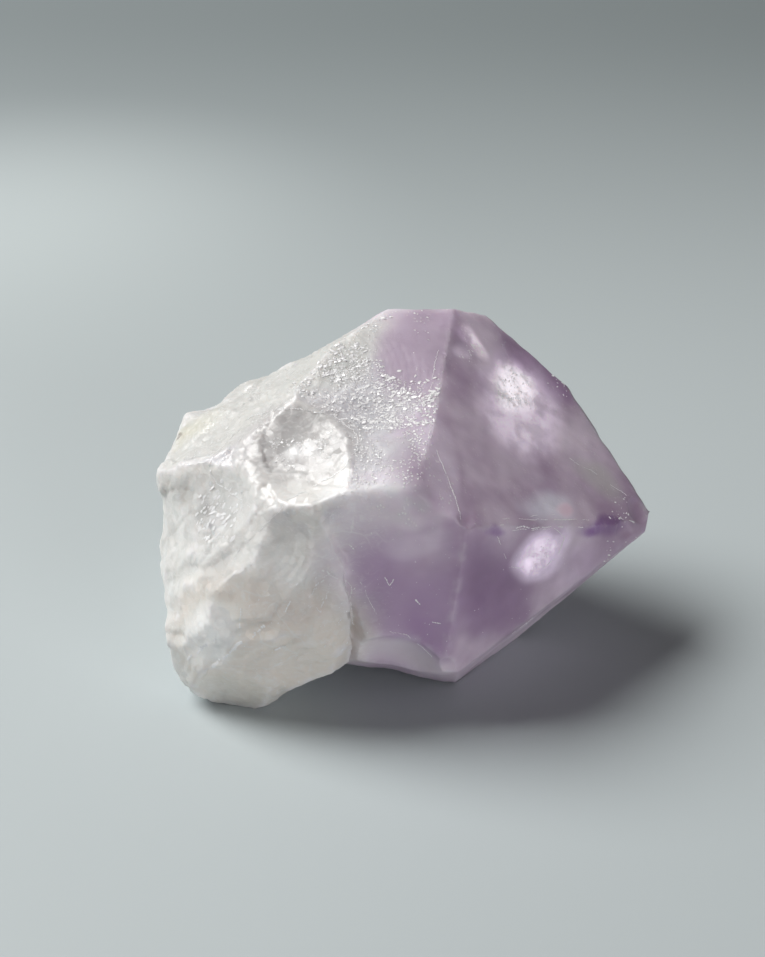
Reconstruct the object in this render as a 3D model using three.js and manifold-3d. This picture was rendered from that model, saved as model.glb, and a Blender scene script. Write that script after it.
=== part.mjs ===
import * as THREE from 'three';
import { ConvexGeometry } from 'three/addons/geometries/ConvexGeometry.js';
import { ImprovedNoise } from 'three/addons/math/ImprovedNoise.js';
import { mergeVertices } from 'three/addons/utils/BufferGeometryUtils.js';
import Module from 'manifold-3d';

const wasm = await Module();
wasm.setup();

// Millimetres. X runs along the crystal to its tip, -Y is the front, Z is up.
// The stone lies on its side, as it is shown, and rests on the plane z = 0.

// The long axis is parallel to X.
const axis = { y: 2, z: 22 };
const blockSize = 140;

// Quartz tip faces lean this many degrees from the long axis.
const tipLean = 38.2;

// Prism faces: azimuth 0 looks to the front, 90 looks up, and away is the distance from the axis.
const prismFaces = {
  upper: { azimuth: 71, away: 28 },
  front: { azimuth: 9, away: 27.8 },
  lowerFront: { azimuth: -47, away: 28 },
  under: { azimuth: -110, away: 20.6 },
  back: { azimuth: 187, away: 25.5 },
  top: { azimuth: 127, away: 35.8 },
};

// Tip faces: reach is where the face would meet the long axis.
const tipFaces = {
  broadUpper: { azimuth: 65, reach: 42.8, lean: 36.6 },
  front: { azimuth: 3, reach: 43.8, lean: tipLean },
  lowerFront: { azimuth: -47, reach: 44.6, lean: tipLean },
  under: { azimuth: -107, reach: 45.4, lean: tipLean },
  back: { azimuth: 187, reach: 46.4, lean: tipLean },
  top: { azimuth: 127, reach: 60, lean: tipLean },
  girdleCorner: { azimuth: 62, reach: 49.9, lean: 32 },
};

// Planes where the crystal broke from its root: each passes through a point and looks along a direction.
const breaks = {
  root: { at: [-9.8, -25.5, 30.1], looks: [-0.74, -0.66, -0.14] },
  rootEnd: { at: [-39.5, 4, 30], looks: [-0.95, 0.1, -0.3] },
  rootBack: { at: [-16, 28.5, 30], looks: [-0.52, 0.8, -0.3] },
  upperSlope: { at: [-9.5, 15, 52.2], looks: [-0.52, 0.27, 0.81] },
  frontSlope: { at: [-35.3, -5, 37], looks: [-0.57, -0.12, 0.81] },
  backSlope: { at: [-9.5, 16, 51.9], looks: [-0.5, 0.44, 0.74] },
  footSlope: { at: [6.3, -27, 10.6], looks: [-0.16, -0.66, -0.73] },
  undercut: { at: [6.5, -16, 0.9], looks: [-0.27, 0.17, -0.95] },
  bluntTip: { at: [42.3, 0, 21], looks: [0.97, -0.2, -0.1] },
  tipChip: { at: [36, -4, 24.8], looks: [0.74, -0.56, 0.37] },
};

// Corners of the milky root's two lumps: the slab behind the crystal, and the lobe at its foot.
// They meet along one ridge.
const ridgeCorners = [
  [-40.3, -13, 18.5], [-31.6, -19, 27.9], [-27.4, -22, 31.7], [-17.1, -26.6, 30.1], [-9.8, -27.6, 30.1],
];
const slabCorners = [
  ...ridgeCorners,
  [-12, 14, 51], [-16, 13, 48], [-26, 12, 43.2], [-37, 10, 38], [-40.4, 8, 36.6], [-41.2, 4, 35],
  [-40, -6, 35.7], [-34.9, -8, 39.5], [-25.9, -8, 45.4], [-21, -5, 47.4], [-11, -3, 49.3],
  [-14.3, -20, 42.8], [-15.6, -24, 40.6], [-9.8, -25.5, 30.1],
  [-41.2, -6, 26.7], [-41, -9, 19], [-38.6, 13, 26], [-36, 16, 16], [-27, 23, 26], [-4, 22, 44],
  [-39, -8, 12], [-37, 10, 5], [-31, 16, -1.2], [-22, 18, -1], [-14, 20, 6], [0, 20, 12], [2, 2, 9.5],
];
const lobeCorners = [
  ...ridgeCorners,
  [-37.2, -21.6, 4.4], [-33, -22.8, 1], [-28.4, -23, -1.2], [-24.6, -21.4, -1], [-21.5, -19.2, 1.5],
  [-18.4, -18.1, 3.5], [-14.3, -18.6, 5.4], [-10.6, -20, 7.4], [-8.4, -27.6, 13.4], [-8.6, -28.2, 24],
  [-33, -25, 20.4], [-24.7, -28.4, 18], [-15.2, -29, 22], [-39, -19.4, 12], [-31, -26.4, 8],
  [-37.6, -2, 8], [-12, -4, 9], [-31, -10, -0.9], [-24, -9, -0.3], [-14, -10, 24], [-36, -6, 16],
];

// Bowls left by shell-like fractures: centre, the three radii and the turn of the bowl in degrees.
const scars = {
  plate: { at: [-22.5, -26.5, 67.5], radii: [27.5, 28, 28], turn: [0, 0, 0] },
  hollow: { at: [-35.3, -17.2, 34.8], radii: [4.2, 6, 12], turn: [0, 29, 40] },
  foot: { at: [-3, -37.8, 6.5], radii: [14.5, 15.5, 16], turn: [0, 12, 0] },
  arch: { at: [-6, -16, -5], radii: [12, 24, 10], turn: [0, 0, 10] },
};

// Fracture relief: the milky stone is knobbly, the crystal's own faces stay flat.
const milkyEnds = { from: -7, to: -16 };
const edgeLimit = { milky: 3.4, clear: 9 };
const relief = [
  { size: 15, height: 0.88 },
  { size: 6.5, height: 0.44 },
];
const ridgeSharpness = 3;

// Points closer than this are one point.
const weld = 1e-4;

// Two triangles lie in one plane when the dot product of their normals is above this.
const samePlane = 0.99999;

const radians = THREE.MathUtils.degToRad;

function toSolid(geometry) {
  const bare = geometry.index ? geometry.toNonIndexed() : geometry.clone();
  bare.deleteAttribute('normal');
  bare.deleteAttribute('uv');
  const merged = mergeVertices(bare, weld / 10);
  return new wasm.Manifold(new wasm.Mesh({
    numProp: 3,
    vertProperties: new Float32Array(merged.attributes.position.array),
    triVerts: new Uint32Array(merged.index.array),
  }));
}

function toGeometry(solid) {
  const mesh = solid.getMesh();
  const geometry = new THREE.BufferGeometry();
  geometry.setAttribute('position', new THREE.BufferAttribute(mesh.vertProperties, 3));
  geometry.setIndex(new THREE.BufferAttribute(mesh.triVerts, 1));
  return geometry;
}

// Unit vector of a face that leans from the long axis, with its azimuth around that axis.
function faceNormal(azimuth, lean) {
  const across = Math.cos(radians(lean));
  return new THREE.Vector3(
    Math.sin(radians(lean)),
    -Math.cos(radians(azimuth)) * across,
    Math.sin(radians(azimuth)) * across,
  );
}

// Keeps what lies behind the plane through a point.
function trim(solid, normal, point) {
  const keep = normal.clone().negate();
  return solid.trimByPlane(keep.toArray(), keep.dot(point));
}

function makeCrystal() {
  let solid = toSolid(new THREE.BoxGeometry(blockSize, blockSize, blockSize));
  for (const face of Object.values(prismFaces)) {
    const normal = faceNormal(face.azimuth, 0);
    const point = new THREE.Vector3(0, axis.y, axis.z).addScaledVector(normal, face.away);
    solid = trim(solid, normal, point);
  }
  for (const face of Object.values(tipFaces)) {
    const normal = faceNormal(face.azimuth, face.lean);
    solid = trim(solid, normal, new THREE.Vector3(face.reach, axis.y, axis.z));
  }
  for (const plane of Object.values(breaks)) {
    const normal = new THREE.Vector3(...plane.looks).normalize();
    solid = trim(solid, normal, new THREE.Vector3(...plane.at));
  }
  return solid;
}

function makeLump(corners) {
  return toSolid(new ConvexGeometry(corners.map((corner) => new THREE.Vector3(...corner))));
}

function makeScar(scar) {
  const bowl = new THREE.IcosahedronGeometry(1, 9);
  bowl.scale(...scar.radii);
  bowl.rotateX(radians(scar.turn[0]));
  bowl.rotateY(radians(scar.turn[1]));
  bowl.rotateZ(radians(scar.turn[2]));
  bowl.translate(...scar.at);
  return toSolid(bowl);
}

// How milky the stone is at a point, from 0 in the clear crystal to 1 in the root.
function milkiness(point) {
  return THREE.MathUtils.clamp((milkyEnds.from - point.x) / (milkyEnds.from - milkyEnds.to), 0, 1);
}

// Halves every edge that is too long for where it lies. Two triangles that share an edge
// halve it at the same point, so the surface stays closed.
function splitLongEdges(geometry) {
  const position = geometry.attributes.position;
  const index = geometry.index;
  const pending = [];
  const done = [];
  for (let i = 0; i < index.count; i += 3) {
    const corner = (k) => new THREE.Vector3().fromBufferAttribute(position, index.getX(i + k));
    pending.push([corner(0), corner(1), corner(2)]);
  }
  while (pending.length > 0) {
    const corners = pending.pop();
    let worst = -1;
    let worstRatio = 1;
    for (let k = 0; k < 3; k++) {
      const a = corners[k];
      const b = corners[(k + 1) % 3];
      const milky = (milkiness(a) + milkiness(b)) / 2;
      const limit = THREE.MathUtils.lerp(edgeLimit.clear, edgeLimit.milky, milky);
      const ratio = a.distanceTo(b) / limit;
      if (ratio > worstRatio) {
        worst = k;
        worstRatio = ratio;
      }
    }
    if (worst < 0) {
      done.push(...corners);
      continue;
    }
    const a = corners[worst];
    const b = corners[(worst + 1) % 3];
    const c = corners[(worst + 2) % 3];
    const middle = a.clone().add(b).multiplyScalar(0.5);
    pending.push([a, middle, c], [middle, b, c]);
  }
  return mergeVertices(new THREE.BufferGeometry().setFromPoints(done), weld);
}

// Angle at a corner of a triangle, in radians.
function cornerAngle(corner, left, right) {
  return left.clone().sub(corner).angleTo(right.clone().sub(corner));
}

// Turns the shared edge of two triangles in one plane wherever that leaves less of a sliver.
function evenTriangles(geometry) {
  const { position } = geometry.attributes;
  const points = [];
  for (let i = 0; i < position.count; i++) {
    points.push(new THREE.Vector3().fromBufferAttribute(position, i));
  }
  const faces = [];
  for (let i = 0; i < geometry.index.count; i += 3) {
    faces.push([0, 1, 2].map((k) => geometry.index.getX(i + k)));
  }
  const key = (a, b) => a * points.length + b;
  const owner = new Map();
  const claim = (face) => {
    faces[face].forEach((a, k) => owner.set(key(a, faces[face][(k + 1) % 3]), face));
  };
  faces.forEach((_, face) => claim(face));
  const triangle = new THREE.Triangle();
  const normalOf = (corners) => triangle
    .set(...corners.map((corner) => points[corner]))
    .getNormal(new THREE.Vector3());
  const pending = [...owner.keys()];
  while (pending.length > 0) {
    const edge = pending.pop();
    const a = Math.floor(edge / points.length);
    const b = edge % points.length;
    const near = owner.get(edge);
    const far = owner.get(key(b, a));
    if (near === undefined || far === undefined) continue;
    const c = faces[near].find((corner) => corner !== a && corner !== b);
    const d = faces[far].find((corner) => corner !== a && corner !== b);
    if (owner.has(key(c, d)) || owner.has(key(d, c))) continue;
    const opposite = cornerAngle(points[c], points[a], points[b])
      + cornerAngle(points[d], points[a], points[b]);
    if (opposite < Math.PI + weld) continue;
    const normal = normalOf([a, b, c]);
    const others = [[b, a, d], [a, d, c], [d, b, c]];
    if (others.some((corners) => normal.dot(normalOf(corners)) < samePlane)) continue;
    owner.delete(edge);
    owner.delete(key(b, a));
    faces[near] = [a, d, c];
    faces[far] = [d, b, c];
    claim(near);
    claim(far);
    pending.push(key(a, d), key(c, a), key(d, b), key(b, c));
  }
  geometry.setIndex(faces.flat());
  return geometry;
}

// Pushes the milky surface in and out along its own normals.
function roughen(geometry) {
  geometry.computeVertexNormals();
  const noise = new ImprovedNoise();
  const { position, normal } = geometry.attributes;
  const point = new THREE.Vector3();
  const out = new THREE.Vector3();
  for (let i = 0; i < position.count; i++) {
    point.fromBufferAttribute(position, i);
    out.fromBufferAttribute(normal, i);
    let height = 0;
    for (const layer of relief) {
      const value = noise.noise(point.x / layer.size, point.y / layer.size, point.z / layer.size);
      height += layer.height * (1 - ridgeSharpness * Math.abs(value));
    }
    point.addScaledVector(out, height * milkiness(point));
    position.setXYZ(i, point.x, point.y, point.z);
  }
  return geometry;
}

function makeStone() {
  let solid = makeCrystal();
  for (const corners of [slabCorners, lobeCorners]) {
    solid = solid.add(makeLump(corners));
  }
  for (const scar of Object.values(scars)) {
    solid = solid.subtract(makeScar(scar));
  }
  const even = evenTriangles(splitLongEdges(evenTriangles(toGeometry(solid))));
  const rough = toSolid(roughen(even));
  const rested = toGeometry(trim(rough, new THREE.Vector3(0, 0, -1), new THREE.Vector3(0, 0, 0)));
  rested.computeBoundingBox();
  const middle = rested.boundingBox.getCenter(new THREE.Vector3());
  return rested.translate(-middle.x, -middle.y, 0);
}

const amethyst = new THREE.MeshStandardMaterial({
  color: 0xb9a6c8,
  roughness: 0.35,
  metalness: 0,
});

const stone = new THREE.Mesh(makeStone(), amethyst);
stone.name = 'amethyst_point';

const part = new THREE.Group();
part.add(stone);

export default part;
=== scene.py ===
import math
import random

import bmesh
import bpy
from mathutils import Matrix, Vector, kdtree, noise


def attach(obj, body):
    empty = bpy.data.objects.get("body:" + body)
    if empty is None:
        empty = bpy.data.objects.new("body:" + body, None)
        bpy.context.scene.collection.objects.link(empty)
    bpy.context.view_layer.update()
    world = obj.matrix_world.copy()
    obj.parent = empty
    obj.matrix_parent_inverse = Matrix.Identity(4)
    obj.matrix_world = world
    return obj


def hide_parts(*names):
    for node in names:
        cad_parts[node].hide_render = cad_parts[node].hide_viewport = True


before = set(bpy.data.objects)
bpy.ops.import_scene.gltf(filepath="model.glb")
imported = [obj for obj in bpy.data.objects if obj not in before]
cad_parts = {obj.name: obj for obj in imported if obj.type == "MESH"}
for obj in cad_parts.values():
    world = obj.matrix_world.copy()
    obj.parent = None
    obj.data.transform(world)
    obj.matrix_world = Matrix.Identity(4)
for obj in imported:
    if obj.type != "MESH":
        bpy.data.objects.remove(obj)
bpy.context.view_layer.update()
mm = 0.001  # sizes below are in millimetres, and Blender's are in metres
noiseSeed = 5
noise.seed_set(noiseSeed)  # without it the noise vectors would differ in every run
scene = bpy.context.scene
scene.view_settings.view_transform = "Standard"
print("frame loaded")

# Camera: X runs along the crystal to its tip, -Y is the front, Z is up

cameraView = {
    "aim": (-4.2, -0.3, 31.8),
    "distance": 319,
    "elevation": 30,
    "lens": 70,
    "sensor": 36,
    "clip": (10, 20000),
}


def makeCamera(view):
    data = bpy.data.cameras.new("photoCamera")
    data.lens = view["lens"]
    data.sensor_fit = "VERTICAL"
    data.sensor_height = view["sensor"]
    data.clip_start = view["clip"][0] * mm
    data.clip_end = view["clip"][1] * mm
    camera = bpy.data.objects.new("photoCamera", data)
    tilt = math.radians(view["elevation"])
    back = Vector((0, -math.cos(tilt), math.sin(tilt))) * view["distance"]
    camera.location = (Vector(view["aim"]) + back) * mm
    camera.rotation_euler = (math.radians(90) - tilt, 0, 0)
    scene.collection.objects.link(camera)
    scene.camera = camera


makeCamera(cameraView)
print("camera placed")


# Node helpers

def addNode(tree, kind, values=None, **settings):
    node = tree.nodes.new(kind)
    for name, value in settings.items():
        setattr(node, name, value)
    for name, value in (values or {}).items():
        if isinstance(value, bpy.types.NodeSocket):
            tree.links.new(value, node.inputs[name])
        else:
            node.inputs[name].default_value = value
    return node


def addMath(tree, operation, first, second, clamp=False):
    node = addNode(tree, "ShaderNodeMath", {0: first, 1: second}, operation=operation, use_clamp=clamp)
    return node.outputs[0]


def addRange(tree, value, low, high, toLow=0.0, toHigh=1.0):
    node = addNode(tree, "ShaderNodeMapRange", {
        "Value": value, "From Min": low, "From Max": high, "To Min": toLow, "To Max": toHigh,
    }, interpolation_type="SMOOTHSTEP")
    return node.outputs["Result"]


def addMix(tree, factor, first, second):
    # a Mix node for colours has them in its sockets 6 and 7, and gives the result in 2
    node = addNode(tree, "ShaderNodeMix", data_type="RGBA")
    for socket, value in ((0, factor), (6, first), (7, second)):
        if isinstance(value, bpy.types.NodeSocket):
            tree.links.new(value, node.inputs[socket])
        elif isinstance(value, float):
            node.inputs[socket].default_value = value
        else:
            node.inputs[socket].default_value = (*value, 1)
    return node.outputs[2]


def addNoise(tree, place, size, detail, roughness=0.55):
    node = addNode(tree, "ShaderNodeTexNoise", {
        "Vector": place, "Scale": 1 / (size * mm), "Detail": detail, "Roughness": roughness,
    })
    return node.outputs["Fac"]


def addCells(tree, place, size, feature="F1"):
    return addNode(tree, "ShaderNodeTexVoronoi", {"Vector": place, "Scale": 1 / (size * mm)}, feature=feature)


def newMaterial(name):
    material = bpy.data.materials.new(name)
    material.use_nodes = True
    material.node_tree.nodes.clear()
    output = material.node_tree.nodes.new("ShaderNodeOutputMaterial")
    return material, material.node_tree, output


# Floor: darker further back as painted shade, with a painted pool of light

floorSettings = {
    "halfSize": 3000,
    "near": (0.50, 0.555, 0.57),
    # the far colour is painted shade: the floor darkens further back
    "far": (0.24, 0.275, 0.285),
    "fadeFrom": 40,
    "fadeTo": 400,
    "roughness": 0.6,
    # a painted pool of light on the floor, to the back left
    "paintedLightPool": {"at": (-105, 185, 0), "radius": 125, "colour": (0.53, 0.59, 0.60)},
}


def makeFloor(settings):
    bm = bmesh.new()
    bmesh.ops.create_grid(bm, x_segments=2, y_segments=2, size=settings["halfSize"] * mm)
    mesh = bpy.data.meshes.new("paleTable")
    bm.to_mesh(mesh)
    bm.free()
    floor = bpy.data.objects.new("paleTable", mesh)
    scene.collection.objects.link(floor)
    material, tree, output = newMaterial("paleTable")
    place = addNode(tree, "ShaderNodeTexCoord").outputs["Object"]
    split = addNode(tree, "ShaderNodeSeparateXYZ", {"Vector": place})
    # painted shade: the colour darkens from near to far
    fade = addRange(tree, split.outputs["Y"], settings["fadeFrom"] * mm, settings["fadeTo"] * mm)
    colour = addMix(tree, fade, settings["near"], settings["far"])
    # a painted pool of light
    paintedLightPool = settings["paintedLightPool"]
    away = addNode(tree, "ShaderNodeVectorMath", {
        0: place, 1: Vector(paintedLightPool["at"]) * mm,
    }, operation="DISTANCE").outputs["Value"]
    colour = addMix(tree, addRange(tree, away, paintedLightPool["radius"] * mm, 0.0), colour, paintedLightPool["colour"])
    surface = addNode(tree, "ShaderNodeBsdfPrincipled", {
        "Base Color": colour, "Roughness": settings["roughness"],
    })
    tree.links.new(surface.outputs[0], output.inputs["Surface"])
    mesh.materials.append(material)


makeFloor(floorSettings)

# Lights: a large soft key from behind on the left, a low fill from the right, weak light all round

keyLight = {
    "towards": (-0.59, 0.22, 0.77),
    "distance": 1400,
    "size": 900,
    "watts": 23.9,
    "colour": (1.0, 0.99, 0.97),
}
fillLight = {
    "towards": (0.60, -0.76, 0.24),
    "distance": 1200,
    "size": 700,
    "watts": 4.4,
    "colour": (1.0, 0.97, 0.99),
}
skyLight = {"colour": (0.88, 0.78, 0.76), "strength": 0.05}


def makeLight(name, settings):
    data = bpy.data.lights.new(name, "AREA")
    data.shape = "DISK"
    data.size = settings["size"] * mm
    data.energy = settings["watts"]
    data.color = settings["colour"]
    light = bpy.data.objects.new(name, data)
    towards = Vector(settings["towards"]).normalized()
    light.location = towards * settings["distance"] * mm
    light.rotation_euler = towards.to_track_quat("Z", "Y").to_euler()
    scene.collection.objects.link(light)


def makeSky(settings):
    world = bpy.data.worlds.new("softSky")
    world.use_nodes = True
    background = world.node_tree.nodes["Background"]
    background.inputs["Color"].default_value = (*settings["colour"], 1)
    background.inputs["Strength"].default_value = settings["strength"]
    scene.world = world


makeLight("keyLight", keyLight)
makeLight("fillLight", fillLight)
makeSky(skyLight)
print("floor and lights made")

# Stone: the CAD solid with finer fracture relief and worn edges

stoneShape = {
    "merge": 0.001,  # corners of the solid closer than this are one
    "detail": 8,  # octree depth of the even mesh
    "fill": 0.72,  # share of the octree's cube that the stone takes
    "rootFrom": -1.0,  # along X: all crystal before the first, all root after the second
    "rootTo": -15.0,
    "wander": {"size": 11, "stray": 6.0},  # how the border between them strays
    "chips": (  # flat breaks: size across and how steeply they tilt
        {"size": 11.0, "tilt": 0.03},
        {"size": 4.0, "tilt": 0.03},
    ),
    "chipShift": 7.31,  # gives every chip a lean of its own
    "ledges": (  # curved steps, one behind the other
        {"across": (0.50, -0.35, -0.79), "spacing": 6.5, "height": 0.2, "sway": 1.3},
        {"across": (0.62, -0.10, -0.78), "spacing": 2.4, "height": 0.08, "sway": 2.1},
    ),
    # sizes of the patterns that bend and fade the ledges, against their spacing
    "ledgePatterns": {"bend": 2.2, "fade": 1.7, "shift": (4, 9, 2), "border": (-0.25, 0.3)},
    "ledgesBelow": {"border": (37.0, 30.0), "above": 0.25},  # higher up only this share is left
    "swell": {"size": 8.0, "height": 0.2},
    "grain": {"size": 1.5, "height": 0.05},
    # worn edges: how sharp they bend in radians, and how far the wear spreads beside them
    "edges": {"bend": (0.25, 0.7), "rings": 2, "spread": 0.62},
    "edgeWear": {"depth": 0.22, "size": 2.6, "least": 0.25},
    "upperBorder": (0.72, 0.97),  # how squarely a spot looks the way of the upper face
    "frostEdge": {"y": -23.3, "z": 42.0, "reach": (9.0, 1.0), "upTo": (9.0, 3.0), "patch": 2.6,
                  "border": (-0.25, 0.35)},
    "softEdge": {"y": -23.0, "z": 43.1, "reach": 4.5, "upTo": 8.0, "times": 60},
    "softSpots": (  # the plate scar runs out on its left without a step
        {"at": (-25.5, -8, 44.5), "reach": 4.5, "times": 30},
        {"at": (-25, -13, 43), "reach": 4.5, "times": 30},
        {"at": (-23.5, -18, 41), "reach": 4, "times": 24},
    ),
    "crevice": {"angle": -0.3, "rings": 3, "times": 12},
}

# Bowls left where flakes of quartz broke off the root
flakeScars = {
    "seed": 11,
    "count": 300,
    "radius": (20.0, 90.0),
    "depth": (0.2, 0.75),
    "slack": 1.7,  # a flake that would go deeper than this many depths stays on
    "ripple": 0.05,
    "spacing": 1.1,
    "rootOver": 0.35,  # they start where the root's share is over this
    "above": 2,
    "margin": 1,  # vertices are looked for this far past each bowl
}

# Larger breaks that show in the photo: a point of each, where it looks, and its roundness
placedScars = (
    {"at": (-24, -22, 37.2), "looks": (-0.62, -0.66, 0.42), "radius": 70, "depth": 0.7},
    {"at": (-24.5, -26.6, 24.5), "looks": (-0.30, -0.93, 0.22), "radius": 50, "depth": 0.9},
    {"at": (-27, -26, 9), "looks": (-0.25, -0.85, -0.45), "radius": 40, "depth": 0.6},
    {"at": (-14.2, -28.4, 26.6), "looks": (0.10, -0.92, 0.38), "radius": 26, "depth": 0.5},
    {"at": (-29.2, -17.6, 35.8), "looks": (-0.66, -0.52, 0.55), "radius": 20, "depth": 0.5},
    {"at": (-37.5, -11, 30), "looks": (-0.85, -0.50, 0.15), "radius": 30, "depth": 0.6},
    {"at": (-33, -3, 41.6), "looks": (-0.45, -0.10, 0.89), "radius": 40, "depth": 0.5},
    {"at": (-22, 4, 47.6), "looks": (-0.45, 0.10, 0.89), "radius": 45, "depth": 0.5},
    {"at": (27.6, 17.5, 41.2), "looks": (0.60, -0.20, 0.75), "radius": 6, "depth": 0.12},
    {"at": (24.6, 20.0, 44.0), "looks": (0.50, 0.55, 0.66), "radius": 3, "depth": 0.10},
    {"at": (40.5, 0.5, 24.0), "looks": (0.75, 0.20, 0.62), "radius": 4, "depth": 0.6},
    {"at": (38.0, -3.2, 22.5), "looks": (0.70, -0.65, 0.25), "radius": 5, "depth": 0.6},
    {"at": (9.2, -22.4, 37.4), "looks": (0.40, -0.70, 0.58), "radius": 3, "depth": 0.3},
    {"at": (5.8, -26.9, 12.0), "looks": (0.30, -0.93, -0.20), "radius": 4, "depth": 0.5},
)
# The ball that pressed the plate scar, and how near its skin a spot belongs to the scar
plateBowl = {"centre": (-23.2, -26.8, 67.5), "radius": 28.35, "border": (0.5, 0.2), "reach": 0.4}

# Faces of the crystal, and parts of the root with the way they roughly look:
# azimuth 0 looks to the front and 90 looks up, lean is towards the tip
stoneFaces = {
    "upperPrism": {"azimuth": 71, "lean": 0},
    "frontPrism": {"azimuth": 9, "lean": 0},
    "broadTip": {"azimuth": 65, "lean": 36.6},
    "frontTip": {"azimuth": 3, "lean": 38.2},
    "plateScar": {"azimuth": 56, "lean": -15},
    "hollow": {"azimuth": 35, "lean": -40},
    "slabTop": {"azimuth": 96, "lean": -27},
    "lobe": {"azimuth": 4, "lean": -8},
}
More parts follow.
